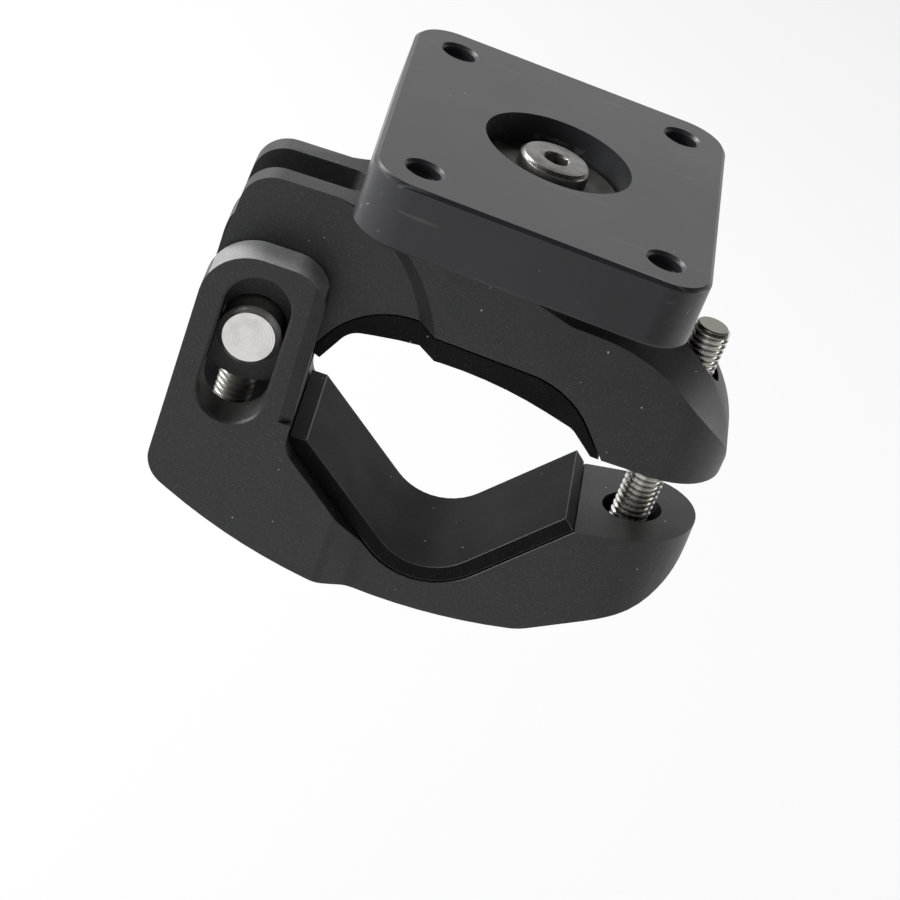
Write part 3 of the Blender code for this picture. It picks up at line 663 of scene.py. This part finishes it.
def crestedLug(jaw):
    block = crestBlock()
    tip = lugCrest["noseTip"]
    cutWith(block, nosePlan("nosePlan", tip), "INTERSECT")
    work = cleaned(block.data, lugCrest["mergeWithin"], lugCrest["flatWithin"])
    work.to_mesh(block.data)
    work.free()
    cutWith(jaw, nosePlan("noseTrim", tip - lugCrest["trimBack"]), "INTERSECT")
    cutWith(jaw, block, "UNION")
    for name in ("pocket", "bore"):
        sides = lugCrest["boreSides"]
        top = lugCrest[name + "Top"]
        tool = prism(name, sides, lugCrest[name], 0, top, lugCrest["screw"], jawNylon)
        cutWith(jaw, tool, "DIFFERENCE")
    print("crest made on the upper lug")


# Pieces with their edges broken, as moulded and machined ones have
jaw = {"slot": "jaw_nylon", "width": 0.16 * mm, "face": jawNylon, "edge": jawEdgeWearAndHighlight}
liner = {"slot": "liner_nylon", "width": 0.10 * mm, "face": linerNylonPaintedShade, "edge": jawEdgeWearAndHighlight}
plate = {"slot": "plate_acetal", "width": 0.12 * mm, "face": plateAcetal, "edge": plateEdgeWearAndHighlight}
brokenEdges = [
    dict(jaw, node="upper_jaw", body="fixed_jaw"),
    dict(jaw, node="lower_jaw", body="swing_jaw", grainPaintedLightAbove=12.5 * mm),
    dict(liner, node="upper_liner", body="fixed_jaw"),
    dict(liner, node="lower_liner", body="swing_jaw"),
    dict(plate, node="mounting_plate", body="swivel_plate"),
]
flatWithin = 0.6  # degrees between faces that are one
brokenFrom = 27.0  # degrees at an edge that is broken
smoothBelow = 38.0  # degrees between faces that shade as one
flatWeight = 90  # how far the large faces decide the shading
grainPaintedLightUp = 0.4  # a face with coarse grain and painted light from above looks up by more than this part of its normal
grainPaintedLightAcross = 0.3  # and to the side by less than this


def copyOf(piece):
    work = cleaned(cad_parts[piece["node"]].data, sameSpot, flatWithin)
    for face in work.faces:
        face.material_index = 0
    return linked(piece["node"] + "_dressed", work, piece["face"])


def isGrainedPaintedLight(face, piece):
    if "grainPaintedLightAbove" not in piece or face.calc_center_median().z < piece["grainPaintedLightAbove"]:
        return False
    return face.normal.z > grainPaintedLightUp and abs(face.normal.y) < grainPaintedLightAcross


def breakEdges(dressed, piece):
    work = cleaned(dressed.data, sameSpot, flatWithin)
    inner = [edge for edge in work.edges if len(edge.link_faces) == 2]
    sharp = [edge for edge in inner if edge.calc_face_angle(0) > math.radians(brokenFrom)]
    # the bevel faces take material 1, the edge colour: partly wear, partly a painted highlight
    bmesh.ops.bevel(
        work,
        geom=sharp,
        offset=piece["width"],
        offset_type="OFFSET",
        segments=2,
        profile=0.5,
        affect="EDGES",
        clamp_overlap=True,
        material=1,
    )
    for face in work.faces:  # the tops of the cheeks came coarser out of the mould, and their much lighter colour is painted light from above
        if isGrainedPaintedLight(face, piece):
            face.material_index = 2
    mesh = dressed.data
    mesh.materials.clear()  # before the faces are written, because it sets their material numbers to 0
    mesh.materials.append(piece["face"])
    mesh.materials.append(piece["edge"])
    if "grainPaintedLightAbove" in piece:
        mesh.materials.append(jawGrainedPaintedLight)
    work.to_mesh(mesh)
    work.free()
    smoothed(mesh, smoothBelow)
    evened = dressed.modifiers.new("evened", "WEIGHTED_NORMAL")  # large faces shade flat to their edges
    evened.keep_sharp = True
    evened.weight = flatWeight
    applied(dressed)
    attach(dressed, piece["body"])
    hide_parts(piece["node"])
    print("edges broken on", piece["node"], len(sharp), "edges")


for piece in brokenEdges:
    dressed = copyOf(piece)
    if piece["node"] == "upper_jaw":
        crestedLug(dressed)
    breakEdges(dressed, piece)


# Screws with a real thread
threadShape = (  # level, and share of the pitch
    ("root", 0.0),
    ("root", 0.12),
    ("crest", 0.44),
    ("crest", 0.56),
    ("root", 0.88),
    ("root", 1.0),
)
threadMerge = 0.004 * mm
threadSteps = 40
roundSteps = 72
screwSmoothBelow = 33.0  # degrees between faces that shade as one


def turnedPiece(name, section, material):
    work = bmesh.new()
    points = [work.verts.new((radius, 0, height)) for radius, height in section]
    edges = [work.edges.new(pair) for pair in zip(points, points[1:])]
    bmesh.ops.spin(
        work,
        geom=points + edges,
        cent=(0, 0, 0),
        axis=(0, 0, 1),
        angle=2 * math.pi,
        steps=roundSteps,
        use_merge=True,
    )
    bmesh.ops.remove_doubles(work, verts=work.verts, dist=samePoint)
    bmesh.ops.recalc_face_normals(work, faces=work.faces)
    return linked(name, work, material)


def wound(work, geom, pitch, turns, steps):
    bmesh.ops.spin(
        work,
        geom=geom,
        cent=(0, 0, 0),
        axis=(0, 0, 1),
        dvec=(0, 0, pitch / steps),
        angle=2 * math.pi * turns,
        steps=steps * turns,
        use_merge=False,
    )


def threadedRod(name, looks, low, high, material):
    pitch = looks["pitch"]
    turns = math.ceil((high - low) / pitch) + 3
    start = low - 2 * pitch
    work = bmesh.new()
    points = [work.verts.new((looks[level], 0, start + share * pitch)) for level, share in threadShape]
    edges = [work.edges.new(pair) for pair in zip(points, points[1:])]
    wound(work, points + edges, pitch, turns, threadSteps)
    bmesh.ops.remove_doubles(work, verts=work.verts, dist=threadMerge)
    for level, up in ((low, -1), (high, 1)):
        everything = list(work.verts) + list(work.edges) + list(work.faces)
        bmesh.ops.bisect_plane(
            work,
            geom=everything,
            plane_co=(0, 0, level),
            plane_no=(0, 0, up),
            clear_outer=True,
        )
        borders = [edge for edge in work.edges if edge.is_boundary]
        rim = [edge for edge in borders if abs(edge.verts[0].co.z - level) < closeBy]
        bmesh.ops.holes_fill(work, edges=rim, sides=0)
    bmesh.ops.recalc_face_normals(work, faces=work.faces)
    return linked(name, work, material)


def screwThread(name, looks, material):
    length = looks["length"]
    clear = 0.05 * mm
    around = looks["crest"] + clear
    inHead = 1.0 * mm
    thread = threadedRod(name, looks, -length, 0.4 * mm, material)
    envelope = [
        (0, -length),
        (looks["crest"] - looks["tip"], -length),
        (around, looks["tip"] - length + clear),
        (around, inHead),
        (0, inHead),
    ]
    cutWith(thread, turnedPiece(name + "Envelope", envelope, material), "INTERSECT")
    return thread


def screwHead(name, looks, material):
    radius = looks["headRadius"]
    height = looks["headHeight"]
    edge = looks["headEdge"]
    foot = 0.15 * mm
    section = [
        (0, height),
        (radius - edge - 0.05 * mm, height),
        (radius - edge, height - 0.02 * mm),
        (radius - 0.03 * mm, height - edge),
        (radius, height - edge - 0.06 * mm),
        (radius, foot),
        (radius - foot, 0),
        (0, 0),
    ]
    head = turnedPiece(name + "Head", section, material)
    corner = looks["socket"] / 2 / math.cos(math.radians(30))
    bottom = height - looks["socketDepth"]
    socket = prism(name + "Socket", 6, corner, bottom, height + 2 * mm, 0, material)
    cutWith(head, socket, "DIFFERENCE")
    if "socketSink" in looks:
        flat = looks["socket"] / 2
        deep = looks["socketSink"]
        over = 0.6 * mm
        sink = [
            (0, height - deep - 0.3 * mm),
            (flat - 0.02 * mm, height - deep),
            (flat + deep + over, height + over),
            (0, height + over),
        ]
        cutWith(head, turnedPiece(name + "Sink", sink, material), "DIFFERENCE")
    return head


def paintRim(mesh, looks, material, rim):
    inner = looks["headRadius"] - looks["headEdge"] - 0.04 * mm
    lowest = looks["headHeight"] - looks["headEdge"] - 0.05 * mm
    highest = looks["headHeight"] - 0.005 * mm
    mesh.materials.clear()
    mesh.materials.append(material)
    mesh.materials.append(rim)
    for face in mesh.polygons:
        reach = math.hypot(face.center.x, face.center.y)
        face.material_index = 1 if reach > inner and lowest < face.center.z < highest else 0


def capScrew(name, looks, material, rim=None):
    screw = screwThread(name, looks, material)
    cutWith(screw, screwHead(name, looks, material), "UNION")
    if rim:
        paintRim(screw.data, looks, material, rim)
    return screw


def seated(item, place, lean, flipped):
    turn = Matrix.Rotation(math.pi, 4, "X") if flipped else Matrix.Identity(4)
    item.data.transform(Matrix.Translation(place) @ Matrix.Rotation(-lean, 4, "Y") @ turn)
    smoothed(item.data, screwSmoothBelow)


lugScrew = {
    "length": 35 * mm,
    "crest": 2.46 * mm,
    "root": 2.03 * mm,
    "pitch": 0.8 * mm,
    "tip": 0.55 * mm,
    "headRadius": 4.25 * mm,
    "headHeight": 3.5 * mm,
    "headEdge": 0.35 * mm,
    "socket": 3.0 * mm,
    "socketDepth": 1.7 * mm,
    "place": (lugCrest["screw"], 0, -8.6 * mm),
}
screw = capScrew("lug_screw_threaded", lugScrew, lugScrewSteel)
seated(screw, lugScrew["place"], 0.0, True)
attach(screw, "lug_screw_body")
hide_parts("lug_screw")
print("clamp screw made")

pinScrew = dict(
    lugScrew,
    length=30 * mm,
    lean=math.radians(2.2),
    seatLevel=-20.1 * mm,
    pin=(-27.3 * mm, 0, 7.2 * mm),
)
down = Vector((math.sin(pinScrew["lean"]), 0, -math.cos(pinScrew["lean"])))
screw = capScrew("pin_screw_threaded", pinScrew, pinScrewSteel)
seated(screw, Vector(pinScrew["pin"]) - down * pinScrew["seatLevel"], pinScrew["lean"], True)
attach(screw, "pin_screw_body")
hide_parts("pin_screw")
print("pin screw made")

plateScrew = dict(
    lugScrew,
    length=12 * mm,
    headRadius=4.5 * mm,
    headHeight=2.5 * mm,
    headEdge=0.42 * mm,
    socketSink=0.25 * mm,
    place=(0, 0, 37.15 * mm),
)
screw = capScrew("plate_screw_threaded", plateScrew, darkSteel, darkSteelRim)
seated(screw, plateScrew["place"], 0.0, False)
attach(screw, "fixed_jaw")
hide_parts("plate_screw")
print("plate screw made")


# The plate's four threaded holes
holeThread = {
    "wall": 2.14 * mm,
    "crest": 1.78 * mm,
    "pitch": 0.7 * mm,
    "low": 32.6 * mm,
    "high": 39.95 * mm,
    "crestFrom": 0.30 * mm,
    "crestTo": 0.40 * mm,
    "steps": 32,
    "smoothBelow": 30.0,
    "across": 15 * mm,
    "along": 19 * mm,
}


def threadRidge(name, place):
    pitch = holeThread["pitch"]
    wall = holeThread["wall"]
    crest = holeThread["crest"]
    turns = math.floor((holeThread["high"] - holeThread["low"]) / pitch)
    section = [
        (wall, 0.0),
        (crest, holeThread["crestFrom"]),
        (crest, holeThread["crestTo"]),
        (wall, pitch),
    ]
    work = bmesh.new()
    points = [work.verts.new((radius, 0, holeThread["low"] + height)) for radius, height in section]
    profile = work.faces.new(points)
    wound(work, [profile], pitch, turns - 1, holeThread["steps"])
    bmesh.ops.recalc_face_normals(work, faces=work.faces)
    bmesh.ops.translate(work, verts=work.verts, vec=place)
    ridge = linked(name, work, plateAcetal)
    smoothed(ridge.data, holeThread["smoothBelow"])
    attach(ridge, "swivel_plate")


for wordX, sideX in (("left", -1), ("right", 1)):
    for wordY, sideY in (("front", -1), ("rear", 1)):
        place = (sideX * holeThread["across"], sideY * holeThread["along"], 0)
        threadRidge(f"hole_thread_{wordX}_{wordY}", place)
print("hole threads made")


# The remaining pieces keep their solids and take their finish
finishes = {
    "cross_pin": pinSteel,
    "pin_screw_washer": washerSteel,
    "lug_washer": washerSteel,
    "plate_washer": recessSteel,
    "plate_insert": brass,
    "lug_insert": brass,
}
for node, material in finishes.items():
    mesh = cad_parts[node].data
    mesh.materials.clear()
    mesh.materials.append(material)
print("finishes set")
